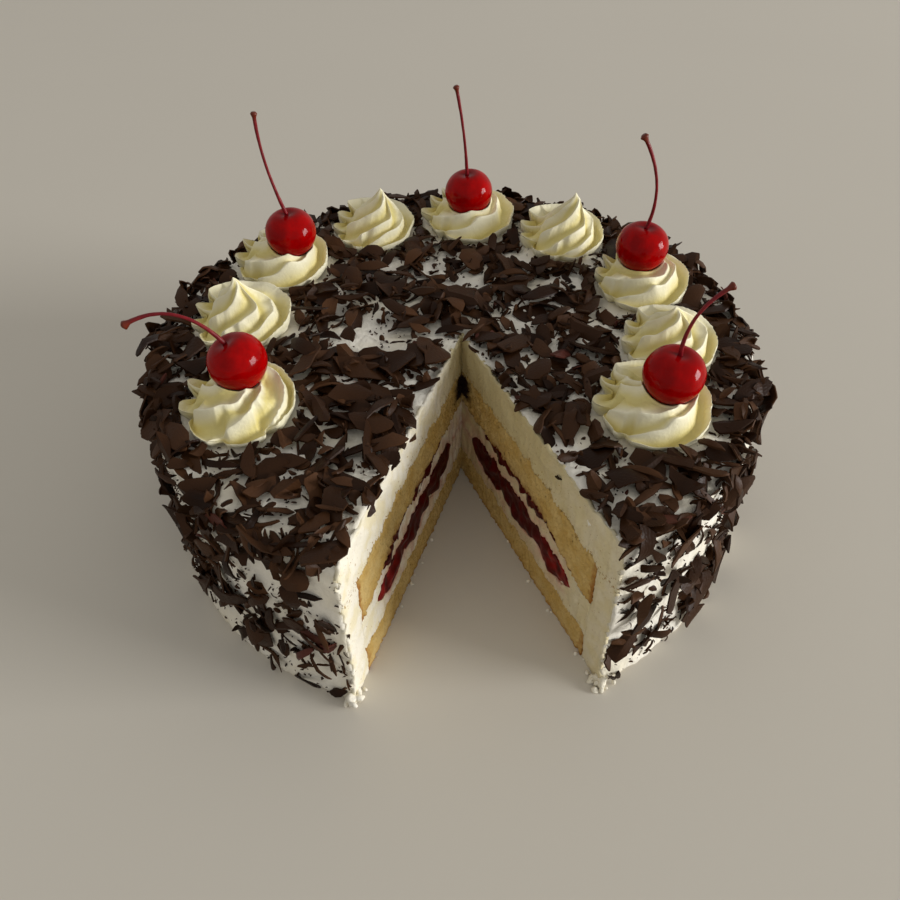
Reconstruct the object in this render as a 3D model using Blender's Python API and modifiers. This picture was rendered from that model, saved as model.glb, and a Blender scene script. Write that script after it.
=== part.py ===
# White forest cake with one slice taken out.
# Two sponge layers with cream and cherry jam between them stand inside a coat of cream covered with
# chocolate shavings. Nine piped swirls ring the top, and every second one holds a cherry with its stem.
# Metres, +Z up. The cake's axis is Z, it rests on Z = 0, and the missing slice opens towards -Y.

import math
import random

import bmesh
import bpy
import numpy as np
from mathutils import Matrix, Vector

GAP = 0.0003  # clearance between touching pieces

# The whole cake
CAKE_HEIGHT = 0.063
CREAM_RADIUS = 0.098
RIM_ROUND = 0.0035
RIM_POINTS = 3
COAT_TAPER = 0.0005  # how much narrower the coat is at its foot
SPONGE_RADIUS = 0.089
SPONGE_EDGE = 0.0015  # bevel of the bottom sponge
RING_STEPS = 36  # sides of the cream coat
LAYER_STEPS = 15  # sides of the hidden layers inside it

# The missing slice: two straight cuts from one point near the middle
SLICE_TIP = Vector((0.0026, 0.0042))
LEFT_CUT = math.radians(-108.6)
RIGHT_CUT = math.radians(-65.8)
CUT_REACH = 0.200

# Heights of the layers at the middle of the cake
BOTTOM_SPONGE_TOP = 0.0115
FILLING_MIDDLE = 0.0245
TOP_SPONGE_UNDER = 0.0355
TOP_SPONGE_TOP = 0.0490
UNDER_DROOP = 0.0085  # how far the top sponge's underside hangs at its rim
TOP_DROOP = 0.0035
DROOP_RADII = (0.052, 0.063, 0.074, 0.082, SPONGE_RADIUS)

# Cherry jam: three piped rings that ran together, and jam that soaked up against the top sponge
JAM_INNER = 0.0100
JAM_OUTER = 0.0780
JAM_RINGS = 3
JAM_TOP = 0.0290
JAM_NECK = 0.0205
JAM_LOW = 0.0165
JAM_BULGE = 0.7  # the lower it is, the rounder each ring's underside
JAM_FALL = 0.0035  # how far the roof falls towards the rim, past a share of the way out
JAM_FALL_START = 0.55
JAM_SHOULDER = 0.0012  # clearance of the cream round the jam's two thin ends
FILLING_EDGE = FILLING_MIDDLE - 0.0025  # where the two creams meet at the rim
SMEAR_INNER = 0.0250
SMEAR_OUTER = 0.0640
SMEAR_THICKNESS = 0.0020
SMEAR_TAPER = 0.0060
SMEAR_SHOULDER = 0.0010

# Piped swirls: azimuth in degrees, distance from the axis, width over all, height, how far the tip
# leans to the left, and how sharply it rises
SWIRLS = [
    (207.9, 0.0704, 0.0405, 0.0150, 0.0027, 1.6),
    (171.4, 0.0701, 0.0380, 0.0198, 0.0017, 1.6),
    (142.6, 0.0766, 0.0400, 0.0150, 0.0027, 1.6),
    (112.7, 0.0757, 0.0366, 0.0198, -0.0020, 1.7),
    (84.5, 0.0787, 0.0410, 0.0150, 0.0027, 1.6),
    (56.0, 0.0764, 0.0370, 0.0212, -0.0020, 1.7),
    (24.9, 0.0748, 0.0379, 0.0150, 0.0027, 1.6),
    (-4.1, 0.0707, 0.0365, 0.0180, 0.0010, 1.1),
    (-30.1, 0.0697, 0.0405, 0.0150, 0.0027, 1.6),
]
SWIRL_TEETH = 8
SWIRL_SHARE = 0.27  # share of a swirl's half width that its piping circle takes
SWIRL_SPREAD = 0.8  # share of that circle by which the star of teeth stays short of the edge
SWIRL_GROOVE = 0.38
SWIRL_CREASE = 0.7  # the lower it is, the sharper the groove between two teeth
SWIRL_TWIST = math.radians(100)
SWIRL_WALL = 0.0070
SWIRL_WALL_ROWS = 0.15  # share of the way from edge to tip that its upright wall takes
SWIRL_RISE = 0.06  # share of that way at which the slope to the tip begins
SWIRL_TUCK = 0.14  # how far its foot draws in
SWIRL_SEAM = math.radians(90)
SWIRL_LEFT = math.radians(200)  # teeth past this turn leave the edge late
SWIRL_LATE = math.radians(240)
SWIRL_LATEST = 0.55
SWIRL_SEAM_WIDTH = math.radians(35)
TEETH_SIDE = math.radians(170)  # direction in which the edge shows its teeth
TEETH_SPAN = math.radians(40)
TEETH_FADE = math.radians(60)
TEETH_HIDDEN = 0.95
TEETH_ROWS = 0.3
LAST_TOOTH = math.radians(140)  # direction of the last tooth, which lies higher and reaches further
LAST_SPAN = math.radians(60)
LAST_LIFT = 0.0028
LAST_REACH = 0.12
SWIRL_SIDES = 24
SWIRL_ROWS = [0, 0.05, 0.13, 0.24, 0.36, 0.49, 0.62, 0.76, 0.89]

# Cherries: the swirl that each stands on, its middle from the swirl's foot, and its lean to the left
CHERRIES = [
    (1, (-0.0010, 0.0030, 0.0158), 20.0),
    (3, (0.0029, -0.0020, 0.0150), 4.0),
    (5, (-0.0015, -0.0033, 0.0142), 6.0),
    (7, (-0.0025, 0.0017, 0.0153), -2.0),
    (9, (0.0028, -0.0012, 0.0150), -4.0),
]
CHERRY_RADIUS = 0.0092
CHERRY_SQUASH = 0.95
CHERRY_ROWS = 9
CHERRY_SIDES = 12
CHERRY_SEAT = 0.0009  # clearance between a cherry and the hollow that it presses
DIMPLE_DEPTH = 0.0016
DIMPLE_RADIUS = 0.0034

# Stems: bend and tip from the cherry's middle
STEMS = [
    ((-0.0130, 0.0000, 0.0235), (-0.0290, -0.0020, 0.0144)),
    ((-0.0067, 0.0000, 0.0265), (-0.0064, 0.0020, 0.0422)),
    ((-0.0015, 0.0000, 0.0240), (-0.0049, 0.0010, 0.0397)),
    ((0.0051, 0.0000, 0.0228), (-0.0056, 0.0000, 0.0395)),
    ((-0.0006, 0.0000, 0.0221), (0.0109, 0.0010, 0.0295)),
]
STEM_RADIUS = 0.00062
STEM_POINTS = 6
STEM_FLARE = 1.2  # thickness at its foot, falling by the next value halfway up
STEM_WAIST = 0.4
KNOB_LENGTH = 0.0022
KNOB_SWELL = 2.3

# Chocolate shavings; pairs are the ends of a random range
TOP_SHAVINGS = 170
SIDE_SHAVINGS = 150
TOP_SEED = 11
SIDE_SEED = 23
SHAVING_LENGTH = (0.0150, 0.0080)  # longest and shortest
SIDE_LONGEST = 0.0105
SHAVING_WIDTH = (0.45, 0.75)  # the next four are shares of its length
SHAVING_BEND = (0.04, 0.12)
SHAVING_FIRST_END = (0.25, 0.70)
SHAVING_LAST_END = (0.15, 0.50)
SHAVING_TILT = (10, 34)  # degrees
SHAVING_ROLL = (-16, 16)
SHAVING_SINK = 0.0016
SHAVING_THICKNESS = 0.0007
SHAVING_REACH = 0.1028  # no shaving stands out past this radius
SHAVING_MARGIN = 0.0040  # band along the top's rim and the side's ends without shavings
CUT_OVERHANG = 0.0020
SWIRL_CLEARANCE = 0.0016


def clear_scene():
    for old in list(bpy.data.objects):
        bpy.data.objects.remove(old)


def new_collection(name):
    collection = bpy.data.collections.new(name)
    bpy.context.scene.collection.children.link(collection)
    return collection


def material(name, colour, roughness):
    made = bpy.data.materials.new(name)
    made.use_nodes = True
    shader = made.node_tree.nodes["Principled BSDF"]
    shader.inputs["Base Color"].default_value = (*colour, 1.0)
    shader.inputs["Roughness"].default_value = roughness
    shader.inputs["Metallic"].default_value = 0.0
    return made


def place(name, data, collection, look):
    made = bpy.data.objects.new(name, data)
    collection.objects.link(made)
    if look:
        data.materials.append(look)
    return made


def smooth_step(value):
    value = min(max(value, 0.0), 1.0)
    return value * value * (3.0 - 2.0 * value)


def turned(name, profile, steps, closed, collection, look):
    # A profile of (radius, height) points turned about Z; it runs down its outer side.
    edges = [(i, i + 1) for i in range(len(profile) - 1)]
    if closed:
        edges.append((len(profile) - 1, 0))
    mesh = bpy.data.meshes.new(name)
    mesh.from_pydata([(r, 0.0, z) for r, z in profile], edges, [])
    made = place(name, mesh, collection, look)
    screw = made.modifiers.new("turn", "SCREW")
    screw.steps = screw.render_steps = steps
    screw.use_merge_vertices = True
    screw.merge_threshold = 0.00001
    screw.use_smooth_shade = False
    return made


def cut_slice(piece, cutter):
    cut = piece.modifiers.new("slice", "BOOLEAN")
    cut.operation = "DIFFERENCE"
    cut.solver = "EXACT"
    cut.object = cutter


def slice_cutter(collection):
    # The wedge between the two cuts, taller than the cake.
    corners = [SLICE_TIP]
    for cut in (LEFT_CUT, RIGHT_CUT):
        corners.append(SLICE_TIP + CUT_REACH * Vector((math.cos(cut), math.sin(cut))))
    shape = bmesh.new()
    face = shape.faces.new([shape.verts.new((c.x, c.y, -CAKE_HEIGHT)) for c in corners])
    grown = bmesh.ops.extrude_face_region(shape, geom=[face])["geom"]
    lifted = [v for v in grown if isinstance(v, bmesh.types.BMVert)]
    bmesh.ops.translate(shape, verts=lifted, vec=(0.0, 0.0, 3.0 * CAKE_HEIGHT))
    bmesh.ops.recalc_face_normals(shape, faces=shape.faces)
    mesh = bpy.data.meshes.new("slice_cutter")
    shape.to_mesh(mesh)
    shape.free()
    cutter = place("slice_cutter", mesh, collection, None)
    cutter.hide_render = True
    cutter.display_type = "WIRE"
    return cutter


def drooping(level, droop, radius):
    # Straight lines between a few radii of a soft fall towards the top sponge's rim.
    falls = [level - droop * smooth_step((r - DROOP_RADII[0]) / (SPONGE_RADIUS - DROOP_RADII[0]))
             for r in DROOP_RADII]
    return float(np.interp(radius, DROOP_RADII, falls))


def sponge_under(radius):
    return drooping(TOP_SPONGE_UNDER, UNDER_DROOP, radius)


def sponge_top(radius):
    return drooping(TOP_SPONGE_TOP, TOP_DROOP, radius)


def jam_floor(radius):
    # Each ring of jam sags into the cream below it, with a neck between rings.
    turn = (radius - JAM_INNER) / (JAM_OUTER - JAM_INNER) * JAM_RINGS * math.pi
    return JAM_NECK - (JAM_NECK - JAM_LOW) * abs(math.sin(turn)) ** JAM_BULGE


def jam_roof(radius):
    along = (radius - JAM_INNER) / (JAM_OUTER - JAM_INNER)
    return JAM_TOP - JAM_FALL * smooth_step((along - JAM_FALL_START) / (1.0 - JAM_FALL_START))


def jam_radii(count):
    # Radii between the jam's two ends.
    return [JAM_INNER + (JAM_OUTER - JAM_INNER) * i / count for i in range(1, count)]


def jam_floor_points(drop):
    return [(r, jam_floor(r) - drop) for r in jam_radii(4 * JAM_RINGS)]


def jam_roof_points(lift):
    return [(r, jam_roof(r) + lift) for r in jam_radii(2 * JAM_RINGS)]


def smear_points(drop):
    # The smear's three middle points, some way below the top sponge.
    radii = (SMEAR_INNER + SMEAR_TAPER, 0.5 * (SMEAR_INNER + SMEAR_OUTER), SMEAR_OUTER - SMEAR_TAPER)
    return [(r, sponge_under(r) - drop) for r in radii]


def layer(name, profile, closed, look, collection, cutter):
    cut_slice(turned(name, profile, LAYER_STEPS, closed, collection, look), cutter)


def bottom_sponge(collection, cutter):
    look = material("sponge_bottom", (0.72, 0.56, 0.26), 0.85)
    profile = [
        (0.0, BOTTOM_SPONGE_TOP),
        (SPONGE_RADIUS - 2 * SPONGE_EDGE, BOTTOM_SPONGE_TOP),
        (SPONGE_RADIUS, BOTTOM_SPONGE_TOP - SPONGE_EDGE),
        (SPONGE_RADIUS, SPONGE_EDGE),
        (SPONGE_RADIUS - SPONGE_EDGE, 0.0),
        (0.0, 0.0),
    ]
    layer("sponge_bottom", profile, False, look, collection, cutter)


def top_sponge(collection, cutter):
    look = material("sponge_top", (0.72, 0.55, 0.25), 0.85)
    profile = [(0.0, TOP_SPONGE_TOP)]
    profile += [(r, sponge_top(r)) for r in DROOP_RADII]
    profile += [(r, sponge_under(r)) for r in reversed(DROOP_RADII)]
    profile += [(0.0, TOP_SPONGE_UNDER)]
    layer("sponge_top", profile, False, look, collection, cutter)


def jam_layer(collection, cutter):
    look = material("cherry_jam", (0.10, 0.004, 0.006), 0.30)
    profile = [(JAM_INNER, FILLING_MIDDLE)]
    profile += jam_roof_points(0.0)
    profile += [(JAM_OUTER, FILLING_EDGE)]
    profile += reversed(jam_floor_points(0.0))
    layer("cherry_jam", profile, True, look, collection, cutter)


def lower_filling(collection, cutter):
    look = material("cream_filling_lower", (0.86, 0.82, 0.68), 0.55)
    profile = [(0.0, FILLING_MIDDLE - GAP)]
    profile += [(JAM_INNER - JAM_SHOULDER, FILLING_MIDDLE - GAP)]
    profile += jam_floor_points(GAP)
    profile += [(JAM_OUTER + JAM_SHOULDER, FILLING_EDGE - GAP)]
    profile += [(SPONGE_RADIUS, FILLING_EDGE - GAP)]
    profile += [(SPONGE_RADIUS, BOTTOM_SPONGE_TOP + GAP)]
    profile += [(0.0, BOTTOM_SPONGE_TOP + GAP)]
    layer("cream_filling_lower", profile, False, look, collection, cutter)


def upper_filling(collection, cutter):
    look = material("cream_filling_upper", (0.86, 0.82, 0.68), 0.55)
    profile = [(0.0, TOP_SPONGE_UNDER - GAP)]
    profile += [(SMEAR_INNER - SMEAR_SHOULDER, TOP_SPONGE_UNDER - GAP)]
    profile += smear_points(SMEAR_THICKNESS + 2 * GAP)
    for r in (SMEAR_OUTER + SMEAR_SHOULDER, *DROOP_RADII[2:]):
        profile.append((r, sponge_under(r) - GAP))
    profile += [(SPONGE_RADIUS, FILLING_EDGE + GAP)]
    profile += [(JAM_OUTER + JAM_SHOULDER, FILLING_EDGE + GAP)]
    profile += reversed(jam_roof_points(GAP))
    profile += [(JAM_INNER - JAM_SHOULDER, FILLING_MIDDLE + GAP)]
    profile += [(0.0, FILLING_MIDDLE + GAP)]
    layer("cream_filling_upper", profile, False, look, collection, cutter)


def smear(collection, cutter):
    look = material("jam_smear", (0.16, 0.02, 0.01), 0.45)
    ends = [(r, sponge_under(r) - 2 * GAP) for r in (SMEAR_INNER, SMEAR_OUTER)]
    profile = [ends[0]]
    profile += smear_points(GAP)
    profile += [ends[1]]
    profile += reversed(smear_points(GAP + SMEAR_THICKNESS))
    layer("jam_smear", profile, True, look, collection, cutter)


def cream_coat(collection, cutter):
    look = material("frosting", (0.88, 0.86, 0.78), 0.50)
    wall = SPONGE_RADIUS + 2 * GAP
    profile = [(0.0, CAKE_HEIGHT), (0.5 * CREAM_RADIUS, CAKE_HEIGHT)]
    for i in range(RIM_POINTS):
        turn = 0.5 * math.pi * i / (RIM_POINTS - 1)
        r = CREAM_RADIUS - RIM_ROUND * (1.0 - math.sin(turn))
        profile.append((r, CAKE_HEIGHT - RIM_ROUND * (1.0 - math.cos(turn))))
    profile += [(CREAM_RADIUS, 0.5 * CAKE_HEIGHT), (CREAM_RADIUS - COAT_TAPER, 0.0), (wall, 0.0)]
    profile += [(wall, sponge_top(SPONGE_RADIUS) + GAP)]
    profile += [(r, sponge_top(r) + GAP) for r in reversed(DROOP_RADII[:-1])]
    profile += [(0.0, TOP_SPONGE_TOP + GAP)]
    coat = turned("frosting", profile, RING_STEPS, False, collection, look)
    cut_slice(coat, cutter)
    return coat


def share(value, first, span):
    # How far a value has gone from the first one over a span, from 0 to 1.
    return min(max((value - first) / span, 0.0), 1.0)


def swirl_points(width, height, lean, sharpness):
    # Rows of points from a swirl's outer edge up to near its tip. A star of teeth leaves the edge tooth
    # by tooth, as the nozzle goes counterclockwise from the left, and each tooth then twists and shrinks
    # into the tip. The first teeth, on the left, stay whole at the edge; the others leave it smooth.
    circle = SWIRL_SHARE * 0.5 * width
    star = 0.5 * width - SWIRL_SPREAD * circle
    points = []
    for row in SWIRL_ROWS:
        wall = 1.0 - share(row, 0.0, SWIRL_WALL_ROWS)
        upright = math.sqrt(1.0 - wall**2)
        grown = share(row, SWIRL_RISE, 1.0 - SWIRL_RISE) ** sharpness
        level = SWIRL_WALL * upright + (height - SWIRL_WALL) * grown
        reach = star * (1.0 - row) * (1.0 - SWIRL_TUCK * wall**2)
        loop = []
        for i in range(SWIRL_SIDES):
            tooth = SWIRL_SEAM + 2.0 * math.pi * i / SWIRL_SIDES
            start = SWIRL_LATEST * share(tooth, SWIRL_LEFT, SWIRL_LATE)
            closing = SWIRL_SEAM + 2.0 * math.pi - SWIRL_SEAM_WIDTH
            start *= 1.0 - smooth_step((tooth - closing) / SWIRL_SEAM_WIDTH)
            along = start + (1.0 - start) * row
            centre = math.pi + 2.0 * math.pi * along
            off_teeth = abs((tooth - TEETH_SIDE + math.pi) % (2.0 * math.pi) - math.pi)
            plain = smooth_step((off_teeth - TEETH_SPAN) / TEETH_FADE)
            depth = SWIRL_GROOVE * (1.0 - TEETH_HIDDEN * plain * (1.0 - share(row, 0.0, TEETH_ROWS)))
            groove = abs(math.sin(0.5 * SWIRL_TEETH * tooth)) ** SWIRL_CREASE
            last = (1.0 - row) * (1.0 - smooth_step(abs(tooth - LAST_TOOTH) / LAST_SPAN))
            out = reach * (1.0 - depth * groove) * (1.0 + LAST_REACH * last)
            turn = tooth + SWIRL_TWIST * row
            arm = circle * (1.0 - along)
            x = arm * math.cos(centre) + out * math.cos(turn) - lean * smooth_step(row)
            y = arm * math.sin(centre) + out * math.sin(turn)
            loop.append(Vector((x, y, level + LAST_LIFT * upright * last)))
        points.append(loop)
    tip = Vector((-lean, 0.0, height))
    return points, tip


def swirl_place(number):
    azimuth, distance = SWIRLS[number - 1][:2]
    turn = math.radians(azimuth)
    return Vector((distance * math.cos(turn), distance * math.sin(turn), CAKE_HEIGHT + GAP))


def seat(point, hollow):
    # Lowers a point to the hollow that a cherry presses into the swirl.
    if hollow is None:
        return point
    reach = CHERRY_RADIUS + CHERRY_SEAT
    off = (point.xy - hollow.xy).length
    if off < reach:
        floor = hollow.z - CHERRY_SQUASH * math.sqrt(reach**2 - off**2)
        point.z = min(point.z, floor)
    return point


def swirl_contact(number):
    # Swirls that touch share a flat contact: (unit vector towards the neighbour, distance to it).
    here = swirl_place(number)
    contacts = []
    for other in range(1, len(SWIRLS) + 1):
        if other == number:
            continue
        away = (swirl_place(other) - here).xy
        mine, theirs = 0.5 * SWIRLS[number - 1][2], 0.5 * SWIRLS[other - 1][2]
        if away.length < mine + theirs + 2 * GAP:
            share = away.length * mine / (mine + theirs)
            contacts.append((away.normalized(), share - 0.5 * GAP))
    return contacts


def swirl(number, collection, hollow):
    look = material(f"rosette_{number}", (0.86, 0.80, 0.55), 0.45)
    here = swirl_place(number)
    rows, tip = swirl_points(*SWIRLS[number - 1][2:])
    for loop in rows:
        for point in loop:
            for toward, limit in swirl_contact(number):
                past = max(point.xy.dot(toward) - limit, 0.0)
                point.x -= past * toward.x
                point.y -= past * toward.y
    shape = bmesh.new()
    rings = []
    for loop in rows:
        rings.append([shape.verts.new(seat(point + here, hollow)) for point in loop])
    top = shape.verts.new(seat(tip + here, hollow))
    for low, high in zip(rings, rings[1:]):
        for i in range(SWIRL_SIDES):
            j = (i + 1) % SWIRL_SIDES
            shape.faces.new((low[i], low[j], high[j]))
            shape.faces.new((low[i], high[j], high[i]))
    for i in range(SWIRL_SIDES):
        shape.faces.new((rings[-1][i], rings[-1][(i + 1) % SWIRL_SIDES], top))
    shape.faces.new(list(reversed(rings[0])))
    mesh = bpy.data.meshes.new(f"rosette_{number}")
    shape.to_mesh(mesh)
    shape.free()
    place(f"rosette_{number}", mesh, collection, look)


def cherry_frame(index):
    number, middle, lean = CHERRIES[index]
    return swirl_place(number) + Vector(middle), Matrix.Rotation(math.radians(-lean), 4, "Y")


def cherry(index, collection):
    look = material(f"cherry_{index + 1}", (0.42, 0.004, 0.008), 0.15)
    half = CHERRY_SQUASH * CHERRY_RADIUS
    profile = [(0.0, half - DIMPLE_DEPTH)]
    for i in range(1, CHERRY_ROWS):
        turn = math.pi * i / CHERRY_ROWS
        r = CHERRY_RADIUS * math.sin(turn)
        dimple = DIMPLE_DEPTH * math.exp(-((r / DIMPLE_RADIUS) ** 2)) if turn < 1.0 else 0.0
        profile.append((r, half * math.cos(turn) - dimple))
    profile.append((0.0, -half))
    made = turned(f"cherry_{index + 1}", profile, CHERRY_SIDES, False, collection, look)
    middle, tilt = cherry_frame(index)
    made.matrix_world = Matrix.Translation(middle) @ tilt


def stem(index, collection):
    # A bent stem from the cherry's dimple to its knob.
    look = material(f"stem_{index + 1}", (0.14, 0.008, 0.010), 0.40)
    middle, tilt = cherry_frame(index)
    lift = CHERRY_SQUASH * CHERRY_RADIUS - DIMPLE_DEPTH + GAP
    root = tilt @ Vector((0.0, 0.0, lift))
    bend, tip = (Vector(p) for p in STEMS[index])
    curve = bpy.data.curves.new(f"stem_{index + 1}", "CURVE")
    curve.dimensions = "3D"
    curve.bevel_depth = STEM_RADIUS
    curve.bevel_resolution = 2
    curve.use_fill_caps = True
    line = curve.splines.new("POLY")
    line.points.add(STEM_POINTS + 2)
    onward = (tip - bend).normalized()
    neck = tip - KNOB_LENGTH * onward
    for i in range(STEM_POINTS + 1):
        t = i / STEM_POINTS
        at = (1 - t) ** 2 * root + 2 * t * (1 - t) * bend + t**2 * neck
        line.points[i].co = (*(middle + at), 1.0)
        line.points[i].radius = STEM_FLARE - STEM_WAIST * math.sin(math.pi * t)
    for i, swell in enumerate((KNOB_SWELL, 0.6 * KNOB_SWELL)):
        at = neck + onward * KNOB_LENGTH * (i + 1) / 2
        line.points[STEM_POINTS + 1 + i].co = (*(middle + at), 1.0)
        line.points[STEM_POINTS + 1 + i].radius = swell
    place(f"stem_{index + 1}", curve, collection, look)


def shaving(length, width, bend, ends, collection):
    # A thin bent shard along X: three cross lines, the outer two shorter, and a thickness along Z.
    shape = bmesh.new()
    layers = []
    for z in (0.5 * SHAVING_THICKNESS, -0.5 * SHAVING_THICKNESS):
        layer = []
        for along, across in ((-0.5, ends[0]), (0.08, 1.0), (0.5, ends[1])):
            rise = bend * (1.0 - 4.0 * along * along) + z
            for side in (-0.5, 0.5):
                layer.append(shape.verts.new((length * along, width * across * side, rise)))
        layers.append(layer)
    top, low = layers
    for a, b, c, d in ((0, 2, 3, 1), (2, 4, 5, 3)):
        shape.faces.new((top[a], top[b], top[c], top[d]))
        shape.faces.new((low[d], low[c], low[b], low[a]))
    border = (0, 2, 4, 5, 3, 1)
    for i, a in enumerate(border):
        b = border[(i + 1) % len(border)]
        shape.faces.new((top[b], top[a], low[a], low[b]))
    bmesh.ops.triangulate(shape, faces=shape.faces)
    bmesh.ops.recalc_face_normals(shape, faces=shape.faces)
    mesh = bpy.data.meshes.new("shaving")
    shape.to_mesh(mesh)
    shape.free()
    return place("shaving", mesh, collection, None)


def in_slice(point, margin):
    # True inside the missing slice, grown by a margin on both sides.
    off = point.xy - SLICE_TIP
    past_left = off.dot(Vector((-math.sin(LEFT_CUT), math.cos(LEFT_CUT))))
    past_right = off.dot(Vector((math.sin(RIGHT_CUT), -math.cos(RIGHT_CUT))))
    return past_left > -margin and past_right > -margin


def clear_of_swirls(corners):
    for number, row in enumerate(SWIRLS, 1):
        here = swirl_place(number)
        reach = 0.5 * row[2] + SWIRL_CLEARANCE
        if any((c.xy - here.xy).length < reach for c in corners if c.z > CAKE_HEIGHT - 0.001):
            return False
    return True


def spread(count, chance):
    # (share of the area from the middle out, turn), spread evenly by the golden angle.
    golden = math.pi * (3.0 - math.sqrt(5.0))
    for i in range(count):
        yield (i + 0.5) / count, (i * golden + chance.uniform(-0.1, 0.1)) % (2.0 * math.pi)


def shaving_sizes(count):
    longest, shortest = SHAVING_LENGTH
    return [longest + (shortest - longest) * (i / count) ** 0.6 for i in range(count)]


def add_shaving(length, chance, frame, collection):
    # Lays one shard on the surface whose frame is given: its Z is the way out of the cream.
    width = length * chance.uniform(*SHAVING_WIDTH)
    ends = (chance.uniform(*SHAVING_FIRST_END), chance.uniform(*SHAVING_LAST_END))
    piece = shaving(length, width, length * chance.uniform(*SHAVING_BEND), ends, collection)
    tilt = math.radians(chance.uniform(*SHAVING_TILT))
    roll = math.radians(chance.uniform(*SHAVING_ROLL))
    turn = chance.uniform(0.0, 2.0 * math.pi)
    sink = 0.5 * length * math.sin(tilt) - SHAVING_SINK
    local = Matrix.Translation((0.0, 0.0, sink)) @ Matrix.Rotation(turn, 4, "Z")
    local = local @ Matrix.Rotation(-tilt, 4, "Y") @ Matrix.Rotation(roll, 4, "X")
    piece.matrix_world = frame @ local
    corners = [piece.matrix_world @ v.co for v in piece.data.vertices]
    too_wide = any(c.xy.length > SHAVING_REACH for c in corners)
    too_low = any(c.z < GAP for c in corners)
    unsupported = in_slice(frame.translation, CUT_OVERHANG)
    hanging = any(in_slice(c, -CUT_OVERHANG) for c in corners)
    if too_wide or too_low or unsupported or hanging or not clear_of_swirls(corners):
        bpy.data.objects.remove(piece)


def top_shavings(collection):
    chance = random.Random(TOP_SEED)
    reach = CREAM_RADIUS - SHAVING_MARGIN
    sizes = shaving_sizes(TOP_SHAVINGS)
    chance.shuffle(sizes)
    for length, (inner, turn) in zip(sizes, spread(TOP_SHAVINGS, chance)):
        r = reach * math.sqrt(inner)
        frame = Matrix.Translation((r * math.cos(turn), r * math.sin(turn), CAKE_HEIGHT))
        add_shaving(length, chance, frame, collection)


def side_shavings(collection):
    chance = random.Random(SIDE_SEED)
    sizes = shaving_sizes(SIDE_SHAVINGS)
    chance.shuffle(sizes)
    for length, (above, turn) in zip(sizes, spread(SIDE_SHAVINGS, chance)):
        z = SHAVING_MARGIN + (CAKE_HEIGHT - 2 * SHAVING_MARGIN) * above
        out = Matrix.Rotation(turn, 4, "Z") @ Matrix.Rotation(0.5 * math.pi, 4, "Y")
        at = (CREAM_RADIUS * math.cos(turn), CREAM_RADIUS * math.sin(turn), z)
        add_shaving(min(length, SIDE_LONGEST), chance, Matrix.Translation(at) @ out, collection)


def fuse(coat, collection):
    # Joins the shavings to the cream coat in one union and keeps the result as plain mesh.
    join = coat.modifiers.new("shavings", "BOOLEAN")
    join.operation = "UNION"
    join.operand_type = "COLLECTION"
    join.collection = collection
    join.solver = "MANIFOLD"
    graph = bpy.context.evaluated_depsgraph_get()
    mesh = bpy.data.meshes.new_from_object(coat.evaluated_get(graph))
    coat.modifiers.clear()
    coat.data = mesh
    for piece in list(collection.objects):
        bpy.data.objects.remove(piece)
    bpy.data.collections.remove(collection)


def build():
    clear_scene()
    cake = new_collection("white_forest_cake")
    helpers = new_collection("cutters")
    shavings = new_collection("shavings")
    cutter = slice_cutter(helpers)
    bottom_sponge(cake, cutter)
    lower_filling(cake, cutter)
    jam_layer(cake, cutter)
    upper_filling(cake, cutter)
    smear(cake, cutter)
    top_sponge(cake, cutter)
    coat = cream_coat(cake, cutter)
    top_shavings(shavings)
    side_shavings(shavings)
    fuse(coat, shavings)
    hollows = {CHERRIES[i][0]: cherry_frame(i)[0] for i in range(len(CHERRIES))}
    for number in range(1, len(SWIRLS) + 1):
        swirl(number, cake, hollows.get(number))
    for index in range(len(CHERRIES)):
        cherry(index, cake)
        stem(index, cake)


build()
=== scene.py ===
# Looks of the white forest cake: swirls, cherries, shaved chocolate, cream and the two cut faces.
import math

import bmesh
import bpy
import numpy as np
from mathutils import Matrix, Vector


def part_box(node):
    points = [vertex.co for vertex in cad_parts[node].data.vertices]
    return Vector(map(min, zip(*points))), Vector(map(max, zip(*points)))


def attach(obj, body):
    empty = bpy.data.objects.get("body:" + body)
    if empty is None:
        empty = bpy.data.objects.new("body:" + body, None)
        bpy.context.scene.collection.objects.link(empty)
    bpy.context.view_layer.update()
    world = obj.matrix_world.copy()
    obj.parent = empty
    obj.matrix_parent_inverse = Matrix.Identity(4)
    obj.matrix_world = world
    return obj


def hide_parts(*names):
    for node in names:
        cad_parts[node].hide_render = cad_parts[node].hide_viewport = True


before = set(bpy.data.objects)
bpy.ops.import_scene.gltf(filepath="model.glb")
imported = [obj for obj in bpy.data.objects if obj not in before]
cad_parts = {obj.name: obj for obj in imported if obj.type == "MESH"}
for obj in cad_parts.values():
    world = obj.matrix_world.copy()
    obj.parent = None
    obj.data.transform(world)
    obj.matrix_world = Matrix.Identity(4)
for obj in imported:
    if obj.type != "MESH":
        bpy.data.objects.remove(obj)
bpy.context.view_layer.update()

mm = 0.001
fullTurn = 2 * math.pi
upward = np.array([0.0, 0.0, 1.0])

cake = {
    "top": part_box("rosette_1")[0].z - 0.3 * mm,
    "spongeRadius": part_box("sponge_bottom")[1].x,
    "radius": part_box("sponge_bottom")[1].x + 9 * mm,
    "tip": np.array([2.6, 4.2]) * mm,  # where the two cuts meet
    "leftCut": math.radians(-108.6),
    "rightCut": math.radians(-65.8),
}


# ---- small tools


def share(value, first, span):  # how far it has gone over span, from 0 to 1
    return np.clip((value - first) / span, 0, 1)


def softStep(value):  # 3x^2 - 2x^3 between 0 and 1
    value = np.clip(value, 0, 1)
    return value * value * (3 - 2 * value)


def hump(value, middle, width):  # bell curve of height 1
    return np.exp(-(((value - middle) / width) ** 2))


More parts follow.
